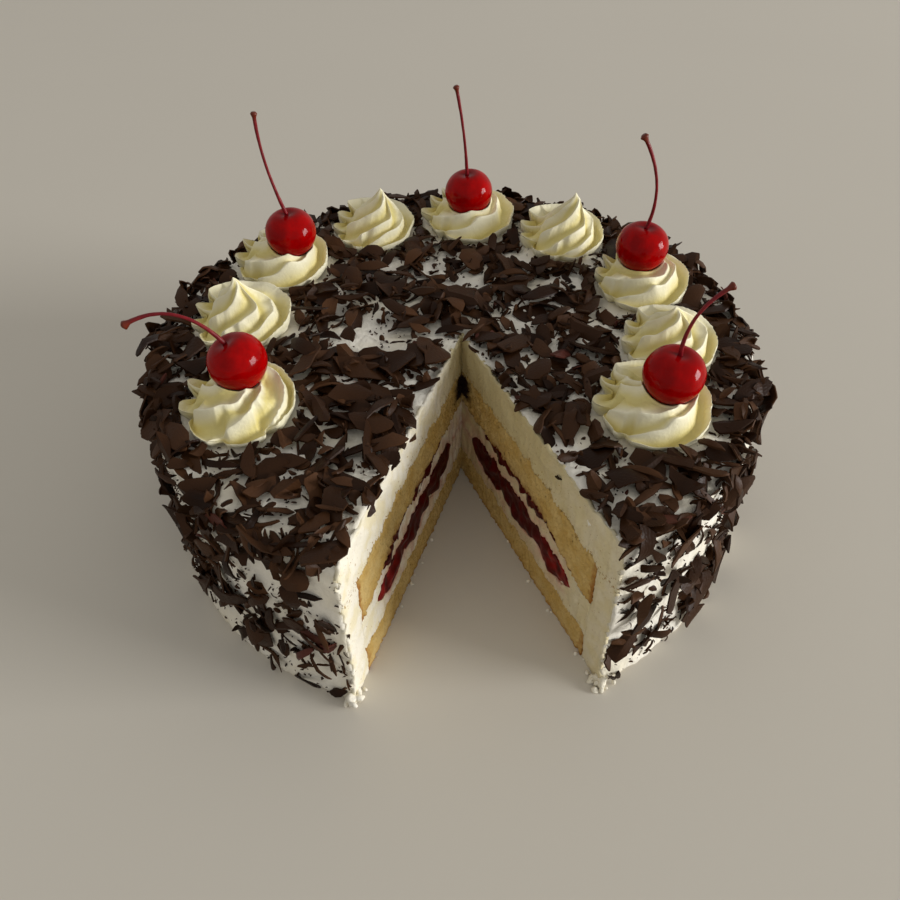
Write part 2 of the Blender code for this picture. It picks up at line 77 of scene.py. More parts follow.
def lengths(vectors):
    return np.linalg.norm(vectors, axis=-1)


def unit(vectors):
    return vectors / lengths(vectors)[..., None]


def waves(points, size, seed, count=24):
    # Unevenness around 0, spread about 1: a sum of sines with lengths near size and random ways.
    draw = np.random.default_rng(seed)
    ways = unit(draw.normal(size=(count, points.shape[-1])))
    pace = fullTurn / (size * draw.uniform(0.7, 1.6, count))
    phase = draw.uniform(0, fullTurn, count)
    return np.sin(points @ (ways * pace[:, None]).T + phase).sum(-1) / math.sqrt(count / 2)


def wavesAlong(distance, size, seed):  # the same on a line
    return waves(distance[..., None], size, seed, 14)


def gridFaces(rows, columns, wrapped=False, flipped=False):
    # Quads between rows and columns; they face column direction x row direction.
    i = np.arange(rows - 1)[:, None] * columns
    j = np.arange(columns if wrapped else columns - 1)[None]
    k = (j + 1) % columns
    quads = np.stack([i + j, i + k, i + columns + k, i + columns + j], 2).reshape(-1, 4)
    return quads[:, ::-1] if flipped else quads


def fanFaces(ring, pole):  # triangles from a closed ring of points to one point
    return np.stack([ring, np.roll(ring, -1), np.full(len(ring), pole)], 1)


def ball(rows, sides):  # angles from the top and round, rows from the bottom up
    down = np.linspace(math.pi, 0, rows + 2)[1:-1, None]
    return np.broadcast_arrays(down, fullTurn * np.arange(sides)[None] / sides)


def ballFaces(rows, sides):  # with the lower and the upper pole after the rows
    ring, last = np.arange(sides), rows * sides
    return [gridFaces(rows, sides, True), fanFaces(ring[::-1], last), fanFaces(last - sides + ring, last + 1)]


def manyTimes(faces, count, each):  # the same faces for each shape
    return (faces + each * np.arange(count)[:, None, None]).reshape(-1, faces.shape[1])


def addToScene(name, data):
    added = bpy.data.objects.new(name, data)
    bpy.context.scene.collection.objects.link(added)
    return added


def makePiece(name, points, faces, look, stands=(), smooth=True, values=None):
    # faces has an array for each number of corners; values are named numbers on the points.
    points = points.astype(np.float32).reshape(-1, 3)
    mesh = bpy.data.meshes.new(name)
    corners = np.concatenate([group.ravel() for group in faces]).astype(np.int32)
    sizes = np.repeat([group.shape[1] for group in faces], [len(group) for group in faces])
    mesh.vertices.add(len(points))
    mesh.vertices.foreach_set("co", points.ravel())
    mesh.loops.add(len(corners))
    mesh.loops.foreach_set("vertex_index", corners)
    mesh.polygons.add(len(sizes))
    mesh.polygons.foreach_set("loop_start", (np.cumsum(sizes) - sizes).astype(np.int32))
    for key, numbers in (values or {}).items():
        layer = mesh.attributes.new(key, "FLOAT", "POINT")
        layer.data.foreach_set("value", numbers.ravel().astype(np.float32))
    mesh.update(calc_edges=True)
    mesh.validate()
    if smooth:
        mesh.shade_smooth()
    mesh.materials.append(looks[look])
    piece = addToScene(name, mesh)
    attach(piece, "root")
    if stands:
        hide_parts(*stands)
    return piece


def weld(piece):  # joins points on one spot and turns the faces outward
    shape = bmesh.new()
    shape.from_mesh(piece.data)
    bmesh.ops.remove_doubles(shape, verts=shape.verts, dist=0.001 * mm)
    bmesh.ops.dissolve_degenerate(shape, edges=shape.edges, dist=0.001 * mm)
    bmesh.ops.recalc_face_normals(shape, faces=shape.faces)
    shape.to_mesh(piece.data)
    shape.free()


# ---- shader tools


class Wire:  # one output; arithmetic on it adds Math nodes
    def __init__(self, sheet, socket):
        self.sheet = sheet
        self.socket = socket

    def __add__(self, other):
        return self.sheet.maths("ADD", self, other)

    def __mul__(self, other):
        return self.sheet.maths("MULTIPLY", self, other)

    __radd__ = __add__
    __rmul__ = __mul__

    def over(self, level, softness):  # 0 below level, 1 from level + softness on
        settings = {"interpolation_type": "SMOOTHSTEP", "clamp": True}
        return self.sheet.add("ShaderNodeMapRange", settings, {0: self, 1: level, 2: level + softness})


class Sheet:  # the node sheet of one material
    def __init__(self, name, gloss):
        self.look = bpy.data.materials.new(name)
        self.look.use_nodes = True
        self.tree = self.look.node_tree
        self.shader = self.tree.nodes["Principled BSDF"].inputs
        self.put(self.shader["Specular IOR Level"], gloss)

    def add(self, kind, settings, sockets, output=0):
        node = self.tree.nodes.new(kind)
        for key, value in settings.items():
            setattr(node, key, value)
        for key, value in sockets.items():
            self.put(node.inputs[key], value)
        return Wire(self, node.outputs[output])

    def put(self, socket, value):
        if isinstance(value, Wire):
            self.tree.links.new(value.socket, socket)
        elif isinstance(value, tuple):
            socket.default_value = (*value, 1)
        else:
            socket.default_value = value

    def maths(self, kind, first, second=0):
        return self.add("ShaderNodeMath", {"operation": kind}, {0: first, 1: second})

    def texture(self, kind, size, **sockets):
        place = self.add("ShaderNodeTexCoord", {}, {}, "Object")
        return self.add(kind, {}, {"Vector": place, "Scale": 1 / size, **sockets})

    def noise(self, size, detail=3):
        return self.texture("ShaderNodeTexNoise", size, Detail=detail)

    def number(self, name):
        return self.add("ShaderNodeAttribute", {"attribute_name": name}, {}, "Fac")

    def blend(self, amount, first, second):
        return self.add("ShaderNodeMix", {"data_type": "RGBA"}, {0: amount, 6: first, 7: second}, 2)

    def finish(self, colour, roughness, height, depth):
        bump = self.add("ShaderNodeBump", {}, {"Height": height, "Distance": depth, "Strength": 1})
        for key, value in {"Base Color": colour, "Roughness": roughness, "Normal": bump}.items():
            self.put(self.shader[key], value)
        return self.look


# ---- finishes


def coatLook():
    sheet = Sheet("whippedCream", 0.25)
    colour = sheet.blend(sheet.noise(14 * mm).over(0.4, 0.3), (0.86, 0.82, 0.72), (0.83, 0.77, 0.62))
    return sheet.finish(colour, 0.6, sheet.noise(1.6 * mm, 4) + 0.6 * sheet.noise(5 * mm), 0.5 * mm)


def pipedLook():  # crests pale, grooves a deeper yellow as painted shade
    sheet = Sheet("pipedCream", 0.3)
    colour = sheet.blend(sheet.number("grooveShade").over(0, 0.85), (0.88, 0.83, 0.61), (0.72, 0.62, 0.24))
    colour = sheet.blend(sheet.noise(9 * mm).over(0.45, 0.3) * 0.3, colour, (0.74, 0.67, 0.36))
    return sheet.finish(colour, 0.45, sheet.noise(0.9 * mm) + 1.5 * sheet.noise(4 * mm), 0.12 * mm)


def cutCreamLook():
    sheet = Sheet("cutCream", 0.25)
    colour = sheet.blend(sheet.noise(6 * mm).over(0.4, 0.25), (0.86, 0.81, 0.68), (0.8, 0.72, 0.5))
    # painted shade: darker, yellower cream on the shaded right cut and deep near the tip
    colour = sheet.blend(sheet.number("buttery") * 0.92, colour, (0.57, 0.475, 0.245))
    colour = sheet.blend(sheet.number("pink"), colour, (0.56, 0.29, 0.2))
    crumb = sheet.noise(0.8 * mm, 4) + 0.14 * sheet.number("crumbs")
    colour = sheet.blend(crumb.over(0.67, 0.04) * 0.85, colour, (0.36, 0.21, 0.05))
    return sheet.finish(colour, 0.55, sheet.noise(1.4 * mm, 4), 0.35 * mm)


def spongeLook():
    sheet = Sheet("sponge", 0.15)
    pores = sheet.texture("ShaderNodeTexVoronoi", 1.1 * mm)
    fine = sheet.noise(0.7 * mm, 5)
    colour = sheet.blend(sheet.noise(7 * mm).over(0.35, 0.3), (0.63, 0.455, 0.18), (0.56, 0.37, 0.115))
    colour = sheet.blend(fine.over(0.5, 0.2) * 0.35, colour, (0.46, 0.29, 0.09))
    colour = sheet.blend(sheet.number("crust"), colour, (0.33, 0.135, 0.026))
    colour = sheet.blend(sheet.number("stain"), colour, (0.11, 0.008, 0.005))
    # painted shadow where the cuts meet, in place of a hollow
    colour = sheet.blend(sheet.number("hollow"), colour, (0.022, 0.008, 0.004))
    return sheet.finish(colour, 0.9, pores * 0.6 + fine, 0.4 * mm)


def jamLook():
    sheet = Sheet("cherryJam", 0.14)
    lumps = sheet.noise(3.5 * mm, 2)
    colour = sheet.blend(lumps.over(0.4, 0.3), (0.046, 0.0004, 0.0005), (0.078, 0.0008, 0.0008))
    # painted light: brighter jam towards the cut's outer end
    colour = sheet.blend(sheet.number("bright"), colour, (0.27, 0.008, 0.006))
    return sheet.finish(colour, lumps * 0.3 + 0.3, lumps, 0.07 * mm)


def chocolateLook():
    # Each shard has its own shade and is striped along the scraper's way. A few are redder.
    sheet = Sheet("shavedChocolate", 0.12)
    shade = sheet.number("shade")
    grain = sheet.noise(0.8 * mm, 4)
    phase = sheet.number("across") * 7 + shade * 40 + 3 * sheet.noise(2.5 * mm)
    colour = sheet.blend(shade, (0.014, 0.0045, 0.001), (0.082, 0.034, 0.013))
    colour = sheet.blend(sheet.number("red"), colour, (0.1, 0.028, 0.02))
    stripes = sheet.maths("SINE", phase) * 0.05
    return sheet.finish(colour, 0.3 + 0.22 * shade + 0.15 * grain, stripes + grain, 0.12 * mm)


def cherryLook():
    sheet = Sheet("cherrySkin", 0.11)
    mottle = sheet.noise(4 * mm, 2)
    colour = sheet.blend(mottle.over(0.35, 0.35), (0.27, 0.0002, 0.0005), (0.37, 0.0003, 0.0006))
    # painted shade: darker red in the dimple round the stem
    colour = sheet.blend(sheet.number("dimpleAndShade"), colour, (0.16, 0.0008, 0.002))
    return sheet.finish(colour, 0.1, mottle, 0.15 * mm)


def stemLook():
    sheet = Sheet("cherryStem", 0.3)
    colour = sheet.blend(sheet.noise(3 * mm).over(0.4, 0.3), (0.16, 0.003, 0.008), (0.22, 0.008, 0.012))
    colour = sheet.blend(sheet.number("end"), colour, (0.13, 0.02, 0.006))
    return sheet.finish(colour, 0.35, sheet.noise(0.7 * mm), 0.1 * mm)


looks = {
    "coat": coatLook(),
    "piped": pipedLook(),
    "cutCream": cutCreamLook(),
    "sponge": spongeLook(),
    "jam": jamLook(),
    "chocolate": chocolateLook(),
    "cherry": cherryLook(),
    "stem": stemLook(),
}
print("finishes made:", len(looks))


# ---- the solids that stay

solidLooks = {
    "sponge_bottom": "sponge",
    "sponge_top": "sponge",
    "cream_filling_lower": "cutCream",
    "cream_filling_upper": "cutCream",
    "cherry_jam": "jam",
    "jam_smear": "jam",
}
for name, look in solidLooks.items():
    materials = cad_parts[name].data.materials
    materials.clear()
    materials.append(looks[look])


# ---- where the slice was cut out

cuts = {  # the last two numbers are painted shade, darker and yellower cream: how much lies over the whole cut face, and how far from the tip it reaches
    "left": {"turn": cake["leftCut"], "flipped": True, "seed": 100, "butter": 0, "shade": 35 * mm},
    "right": {"turn": cake["rightCut"], "flipped": False, "seed": 200, "butter": 1, "shade": 105 * mm},
}
for cut in cuts.values():
    turn = cut["turn"]
    cut["along"] = np.array([math.cos(turn), math.sin(turn)])
    facing = 1 if cut["flipped"] else -1
    cut["out"] = facing * np.array([-math.sin(turn), math.cos(turn)])  # into the gap


def reachTo(radius, ways):
    # Distance from the cuts' meeting point to the circle of that radius, along unit vectors.
    onward = ways @ cake["tip"]
    return -onward + np.sqrt(onward**2 + radius**2 - cake["tip"] @ cake["tip"])


def intoSlice(points):
    # How far inside the missing slice; negative on the cake.
    off = points[..., :2] - cake["tip"]
    return np.minimum(off @ cuts["left"]["out"], off @ cuts["right"]["out"])


# ---- cream coat

coat = {
    "columns": 440,
    "topRows": 74,
    "sideRows": 48,
    "rim": 3.5 * mm,
    "rimRows": 7,
    "swells": [(0.35 * mm, 16 * mm, 5), (0.16 * mm, 4 * mm, 6)],  # depth, size and seed of unevenness
    "foot": 2.2 * mm,  # how far the foot stands out, and up to where
    "footHeight": 15 * mm,
}


def footReach(level):  # foot x (1 - height / foot height)^2
    return coat["foot"] * (1 - share(level, 0, coat["footHeight"])) ** 2


def sagged(height, fall, radius):  # lower by fall towards the rim
    first = 52 * mm
    return height - fall * softStep((radius - first) / (cake["spongeRadius"] - first))


def spongeTop(radius):
    return sagged(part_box("sponge_top")[1].z, 3.5 * mm, radius)


def raised(flat, level):  # x and y with a height
    return np.concatenate([flat, np.broadcast_to(level, flat.shape[:-1])[..., None]], -1)


def creamCoat():
    # A profile over the top, rim, side and foot, and back inside the wall and below the top, swept
    # round the cuts' meeting point from one cut to the other.
    top, radius, rim = cake["top"], cake["radius"], coat["rim"]
    inner = cake["spongeRadius"] + 0.6 * mm
    across = (radius - rim) * np.linspace(0, 1, coat["topRows"])[:-1]
    bend = np.linspace(0, 0.5 * math.pi, coat["rimRows"])
    down = np.linspace(top - rim, 0.8 * mm, coat["sideRows"])[1:]
    under = np.linspace(inner, 0, 9)[1:]
    reach = np.concatenate([across, radius - rim * (1 - np.sin(bend)), radius + footReach(down),
                            [radius + coat["foot"] - 0.8 * mm, inner, inner], under])
    level = np.concatenate([np.full(len(across), top), top - rim * (1 - np.cos(bend)), down,
                            [0, 0, spongeTop(inner) + 0.3 * mm], spongeTop(under) + 0.3 * mm])
    tilt = np.concatenate([0 * across, bend, np.full(len(down) + 3 + len(under), 0.5 * math.pi)])[:, None]
    outside = np.arange(len(reach)) < len(reach) - 3 - len(under)
    turn = np.linspace(cake["rightCut"], cake["leftCut"] + fullTurn, coat["columns"])
    ways = np.stack([np.cos(turn), np.sin(turn)], 1)
    flat = cake["tip"] + (reach / radius)[:, None, None] * reachTo(radius, ways)[:, None] * ways
    points = raised(flat, level[:, None])
    swell = sum(depth * waves(points, size, seed) for depth, size, seed in coat["swells"])
    swell *= (outside * share(reach, 0, 6 * mm))[:, None]
    points += swell[..., None] * raised(np.sin(tilt)[..., None] * unit(flat), np.cos(tilt))
    rows, columns = points.shape[:2]
    first = np.arange(rows)[None] * columns
    faces = [gridFaces(rows, columns, flipped=True), first[:, ::-1], first + columns - 1]
    weld(makePiece("creamCoat", points, faces, "coat", ["frosting"]))


creamCoat()
print("cream coat made")


# ---- cut faces

layers = {
    "cell": 0.42 * mm,
    "proud": 0.55 * mm,  # how far out of the solids' cut planes
    "thickness": 1.2 * mm,
    "jamInner": 9.5 * mm,
    "jamOuter": 78 * mm,
    "jamRings": 3,
    "jamNeck": 20.5 * mm,
    "filling": 24.5 * mm,
    "smears": {"left": [(43, 7), (69, 7)], "right": [(33, 8), (53, 10)]},  # middle and half length in mm
    "reliefs": {  # (depth and size in mm, what is added to the seed)
        "sponge": [(0.14, 2.6, 20), (0.09, 1.1, 21)],
        "cutCream": [(0.12, 9, 27), (0.05, 1.3, 24)],
        "jam": [(0.3, 7, 25), (0.03, 2, 26)],
    },
    "sheets": [  # name, its two ends, its lower and upper border, finish, slot
        ("cutSpongeBottom", "middle", "sponge", "floor", "bottom", "sponge", "sponge"),
        ("cutCreamLower", "middle", "sponge", "bottom", "jamFloor", "cutCream", "cream_filling"),
        ("cutJam", "jamInner", "jamOuter", "jamFloor", "jamRoof", "jam", "jam"),
        ("cutCreamUpper", "middle", "sponge", "jamRoof", "smear", "cutCream", "cream_filling"),
        ("cutSmear", "smearInner", "smearOuter", "smear", "under", "jam", "jam"),
        ("cutSpongeTop", "middle", "sponge", "under", "crown", "sponge", "sponge"),
        ("cutCreamTop", "middle", "cream", "crown", "lip", "cutCream", "frosting"),
        ("cutCreamWall", "sponge", "cream", "floor", "crown", "cutCream", "frosting"),
    ],
}
for cut in cuts.values():
    radii = {"jamInner": layers["jamInner"], "jamOuter": layers["jamOuter"],
             "sponge": cake["spongeRadius"], "cream": cake["radius"]}
    cut["ends"] = {key: reachTo(radius, cut["along"]) for key, radius in radii.items()}
    cut["ends"].update({"middle": 0, "smearInner": 22 * mm, "smearOuter": 80 * mm})


def axisDistance(cut, along):  # of points on a cut from the cake's axis
    return lengths(cake["tip"] + along[..., None] * cut["along"])


def ragged(cut, along, *rows):  # waves of (size and depth in mm, seed)
    return sum(depth * mm * wavesAlong(along, size * mm, cut["seed"] + more) for size, depth, more in rows)


def jamBorders(cut, along):
    # (floor, roof) of the jam: sagging rings that ran together, pinched to nothing at both ends.
    low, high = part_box("cherry_jam")
    inner, outer, neck = layers["jamInner"], layers["jamOuter"], layers["jamNeck"]
    way = share(axisDistance(cut, along), inner, outer - inner)
    ring = np.abs(np.sin(way * layers["jamRings"] * math.pi)) ** 0.7
    middle = layers["filling"] - 2.5 * mm * softStep((way - 0.5) / 0.5)
    ends = np.sqrt(np.clip(np.minimum(way / 0.07, (1 - way) / 0.1), 0, 1))
    roof = high.z - 3 * mm * softStep((way - 0.45) / 0.55) - 1.3 * mm * (1 - ring)
    roof = roof + ragged(cut, along, (8, 0.5, 1), (1.8, 0.14, 2))
    floor = neck - (neck - low.z) * ring + ragged(cut, along, (7, 0.25, 3), (1.8, 0.1, 4))
    return middle - (middle - floor) * ends, middle + np.maximum(roof - middle, 0.3 * mm) * ends


def borders(side, along):
    # Heights between the layers, bottom up. The smear is 0.28 mm deep, and 3 mm deeper round its
    # middles; the lip is the rounded rim at the coat's outer end.
    cut = cuts[side]
    radius = axisDistance(cut, along)
    floor, roof = jamBorders(cut, along)
    high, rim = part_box("cream_filling_upper")[1].z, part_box("sponge_top")[0].z
    under = sagged(high, high - rim, radius) + ragged(cut, along, (9, 0.5, 8), (1.5, 0.2, 9))
    depth = 0.28 * mm
    for middle, half in layers["smears"][side]:
        depth = depth + 3 * mm * softStep(1.35 - np.abs(along - middle * mm) / (half * mm))
    off = np.clip(along - (cut["ends"]["cream"] - coat["rim"]), 0, coat["rim"])
    lip = cake["top"] - coat["rim"] + np.sqrt(np.maximum(coat["rim"] ** 2 - off**2, 0))
    return {
        "floor": 0 * along,
        "bottom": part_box("sponge_bottom")[1].z + ragged(cut, along, (7, 0.4, 6), (1.3, 0.25, 7)),
        "jamFloor": floor,
        "jamRoof": roof,
        "smear": under - depth * (1 + 0.25 * wavesAlong(along, 7 * mm, cut["seed"] + 5)),
        "under": under,
        "crown": spongeTop(radius) + ragged(cut, along, (8, 0.5, 10), (1.2, 0.35, 11)),
        "lip": lip + ragged(cut, along, (5, 0.25, 12)),
    }


def relief(look, flat, seed):  # how far a surface stands out, by a sum of waves
    rows = layers["reliefs"][look]
    out = sum(depth * mm * waves(flat, size * mm, seed + more) for depth, size, more in rows)
    if look == "sponge":  # torn crumb with sharp little pits
        out = out - 0.5 * mm * np.clip(waves(flat, 1.7 * mm, seed + 22) - 0.9, 0, 1)
    if look == "cutCream":  # dragged up and down by the knife
        out = out + 0.09 * mm * waves(flat * [1, 0.4], 3.2 * mm, seed + 23)
    return out


def spongePaint(side, name, flat):
    # Crust at the rim and the foot; on the top layer, stains over the smears that fade upward, and a
    # dark painted shadow where the cuts meet, standing in for a hollow.
    cut = cuts[side]
    along, height = np.moveaxis(flat, 2, 0)
    edge = cake["spongeRadius"] - axisDistance(cut, along) + 0.5 * mm * waves(flat, 3 * mm, cut["seed"] + 30)
    foot = height + 0.4 * mm * waves(flat, 3 * mm, cut["seed"] + 31)
    crust = 0.9 * (1 - share(edge, 0, 2.6 * mm)) + 0.6 * (1 - share(foot, 0, 1.8 * mm))
    if name == "cutSpongeBottom":
        return {"crust": crust}
    rise = (height - borders(side, along[0])["under"]) / mm
    crust = crust + 0.5 * np.exp(-(rise / 0.7)) * softStep((along - 70 * mm) / (10 * mm))
    stain = 0
    for middle, half in layers["smears"][side]:
        stain = stain + softStep(1.5 - np.abs(along - middle * mm) / (half * mm)) * np.exp(-rise / 1.4)
    stain = stain * (1 + 0.2 * waves(flat, 2 * mm, cut["seed"] + 32))
    stain = stain + 0.5 * np.exp(-rise / 0.5) * softStep((82 * mm - along) / (10 * mm))
    # painted shadow: a dark patch where the cuts meet, in place of a hollow
    hollow = 1.6 * hump(along, 3 * mm, 4.5 * mm) * softStep((height - 37.5 * mm) / (2 * mm))
    hollow = hollow * softStep((48.5 * mm - height) / (2 * mm))
    return {"crust": crust, "stain": stain, "hollow": hollow}


def creamPaint(side, name, flat):
    # Crumbs at the sponge, pink next to the jam, and painted shade as darker, yellower cream: over the whole
    # right cut, and near the tip of the top band and wall.
    cut = cuts[side]
    along, height = np.moveaxis(flat, 2, 0)
    edges = borders(side, along[0])
    if name in ("cutCreamTop", "cutCreamWall"):
        # painted shade, deep at the tip of the narrow gap and over the whole right cut
        shaded = 1 - softStep(along / cut["shade"]) + 0.55 * cut["butter"]
        crumbs = np.exp(-np.abs(height - edges["crown"]) / (1.8 * mm))
        return {"crumbs": crumbs, "buttery": shaded}
    near = np.minimum(np.abs(height - edges["jamFloor"]), np.abs(height - edges["jamRoof"])) / mm
    inside = 1 - softStep((along - 74 * mm) / (9 * mm))
    pink = (0.24 + 0.6 * np.exp(-near / 0.9) + 0.12 * waves(flat, 6 * mm, cut["seed"] + 34)) * inside
    # painted shade over the right cut, lighter outward and next to the jam
    layerShade = cut["butter"] * (0.95 - 0.3 * softStep(along / (85 * mm)))
    layerShade = layerShade * (1 - 0.6 * inside * np.exp(-near / 1.2))
    crumbs = np.exp(-np.abs(height - edges["bottom"]) / (1.2 * mm))
    return {"pink": pink, "crumbs": crumbs, "buttery": layerShade}


def jamPaint(side, name, flat):  # brighter towards the outer end as painted light, where more light reaches the cut
    outer = softStep((flat[..., 0] - 55 * mm) / (18 * mm)) * (name == "cutJam")
    return {"bright": np.clip(outer * (0.4 + 0.3 * waves(flat, 5 * mm, cuts[side]["seed"] + 33)), 0, 0.9)}


def cutSheet(side, name, first, last, lower, upper, look, slotName):
    # A sheet between two border curves, moved out of the cut plane by its relief, with a back.
    cut = cuts[side]
    first, last = cut["ends"][first], cut["ends"][last]
    columns = int((last - first) / layers["cell"]) + 1
    along = np.linspace(first, last, columns)
    edges = borders(side, along)
    span = edges[upper] - edges[lower]
    rows = max(4, int(np.max(span) / layers["cell"]) + 1)
    level = edges[lower] + np.linspace(0, 1, rows)[:, None] * np.maximum(span, 0.05 * mm)
    along = np.broadcast_to(along, level.shape)
    if last == cut["ends"]["cream"]:  # the outer edge follows the coat's foot
        edge = footReach(level) + 0.35 * mm * wavesAlong(level, 5 * mm, cut["seed"] + 35)
        along = along + edge * share(along, cake["spongeRadius"], last - cake["spongeRadius"])
    flat = np.stack([along, level], 2)
    out = layers["proud"] + relief(look, flat, cut["seed"])
    out[0] = out[1]  # upright at the foot, to keep the back off the floor
    ground = cake["tip"] + along[..., None] * cut["along"] + out[..., None] * cut["out"]
    paint = {"sponge": spongePaint, "cutCream": creamPaint, "jam": jamPaint}[look]
    quads = gridFaces(rows, columns, flipped=cut["flipped"])
    values = {key: np.clip(numbers, 0, 1) for key, numbers in paint(side, name, flat).items()}
    piece = makePiece(f"{name}_{side}", raised(ground, level), [quads], look, values=values)
    wall = piece.modifiers.new("wall", "SOLIDIFY")
    wall.thickness = layers["thickness"]
    wall.offset = -1


for side in cuts:
    for facts in layers["sheets"]:
        cutSheet(side, *facts)
print("cut faces made")


# ---- piped swirls

swirl = {
    "rows": 92,
    "wallRows": 14,
    "sides": 330,
    "seam": 118,  # degrees, where the piping ends and starts
    # crests left by the nozzle: degrees where it leaves the edge, radius of the ring it runs into (edge
    # is 1), degrees in which it comes 63% of the way, degrees where it turns in
    "frontCherry": [(130, 0, 22, 900), (158, 0, 26, 900), (190, 0.22, 72, 900), (247, 0.3, 75, 900),
                    (300, 0.74, 45, 900)],
    "underCherry": [(118, 0, 22, 900), (142, 0, 26, 900), (170, 0.5, 60, 900), (212, 0.63, 60, 900)],
    "peaked": [(136, 0, 20, 900), (164, 0, 26, 900), (193, 0, 60, 900), (228, 0.45, 40, 312),
               (252, 0.66, 42, 372)],
    # knobs: degrees, radius, height in mm
    "bumps": {"frontCherry": [(276, 0.6, 1.6), (338, 0.62, 1.4)], "underCherry": [(281, 0.68, 2.2)]},
    # kind, power of the slope and turn in degrees; every other swirl is under a cherry
    "each": [("frontCherry", 0.95, 0), ("peaked", 1.7, 4), ("underCherry", 0.95, 10), ("peaked", 1.7, -6),
             ("underCherry", 0.95, 8), ("peaked", 1.7, 0), ("underCherry", 0.95, -4), ("peaked", 1.1, -14),
             ("underCherry", 0.95, 6)],
    "drop": (0.5, 0.3),  # share of the way between crests over which it falls, left and front
    "wide": 0.26,  # crests closer than this have shallower grooves
    "edge": [(118, 8), (142, 8.6), (166, 6.8), (197, 5.6), (236, 4.4), (280, 3.6), (325, 5.4),
             (360, 7), (430, 7.6), (478, 8)],  # height of the outer edge at those degrees, mm
    "depth": 8.5 * mm,
    "deepest": 0.62,
    "notch": 0.3,
    "tuck": 0.13,
    "shoulder": 0.02,
    "collar": 1 * mm,
    "pressedHeight": 14 * mm,  # of a swirl below a cherry
    "pressedLean": 1.2 * mm,
}
cherry = {
    "rows": 42,
    "sides": 64,
    "squash": 0.95,
    "dimple": 1.6 * mm,
    "dimpleWidth": 3.4 * mm,
    "leans": [20, 4, 6, -2, -4],
}


def crested(r, turn, kind):
    # 1 on a crest, 0 in the grooves. Crests r = ring + (edge - ring) exp(-(turn - start) / pace) lie
    # inside each other; the surface falls steeply off each one and climbs gently to the next.
    r, turn = np.broadcast_arrays(r, turn)
    out = np.zeros(r.shape)
    inner = np.full(r.shape, -0.3)
    edge = 1.03
    drop = swirl["drop"][0] + (swirl["drop"][1] - swirl["drop"][0]) * softStep((turn - 195) / 60)
    for start, ring, pace, last in [*swirl[kind], (np.inf, 0, 1, np.inf)]:
        outer = ring + (edge - ring) * np.exp(-np.clip(turn - start, 0, 900) / pace)
        outer = outer * (1 - softStep((turn - last) / 50))
        gap = np.maximum(outer - inner, 0.001)
        way = np.clip((r - inner) / gap, 0, 1)
        petal = np.maximum(1 - way / drop, (way - drop) / (1 - drop))
        petal = 1 - (1 - petal) * np.minimum(gap / swirl["wide"], 1)
        out = np.where((r >= inner) & (r <= outer), petal, out)
        inner = outer
    # notches behind the crests' starts, shallower at the front
    notches = sum(hump(turn, start + 13, 6.5) * (1 if start < 200 else 0.45) for start, *_ in swirl[kind])
    return out - 0.85 * notches * share(r, 0.55, 0.45)


def crestedAll(r, turn, kind):
    # Over the last 45 degrees it goes over into the start; then it is smoothed twice, each value
    # going a quarter of the way to both neighbours.
    change = softStep((turn - swirl["seam"] - 315) / 45)
    grid = crested(r, turn, kind)
    grid = grid + (crested(r, turn - 360, kind) - grid) * change
    for _ in range(2):
        grid = 0.5 * grid + 0.25 * (np.roll(grid, 1, 1) + np.roll(grid, -1, 1))
        grid[1:-1] = 0.5 * grid[1:-1] + 0.25 * (grid[:-2] + grid[2:])
    return grid


def readSwirl(n):
    # (middle, foot, width, height, lean) from the solid's box, lowest ring and highest point
    node = f"rosette_{n}"
    low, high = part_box(node)
    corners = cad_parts[node].data.vertices
    points = np.empty(3 * len(corners), np.float32)
    corners.foreach_get("co", points)
    points = points.reshape(-1, 3).astype(float)
    ring = points[points[:, 2] < low.z + 0.05 * mm]
    middle = 0.5 * (ring.min(0) + ring.max(0))[:2]
    width = 0.53 * (high.x - low.x + high.y - low.y)
    if n % 2:
        return middle, low.z, width, swirl["pressedHeight"], swirl["pressedLean"]
    tip = points[points[:, 2].argmax()]
    return middle, low.z, width, high.z - low.z, middle[0] - tip[0]


def cherryMiddle(n):
    low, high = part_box(f"cherry_{n}")
    radius = 0.5 * (high.x - low.x)
    return np.array([0.5 * (low.x + high.x), 0.5 * (low.y + high.y), low.z + 0.95 * radius]), radius


swirlFacts = {n: readSwirl(n) for n in range(1, 10)}


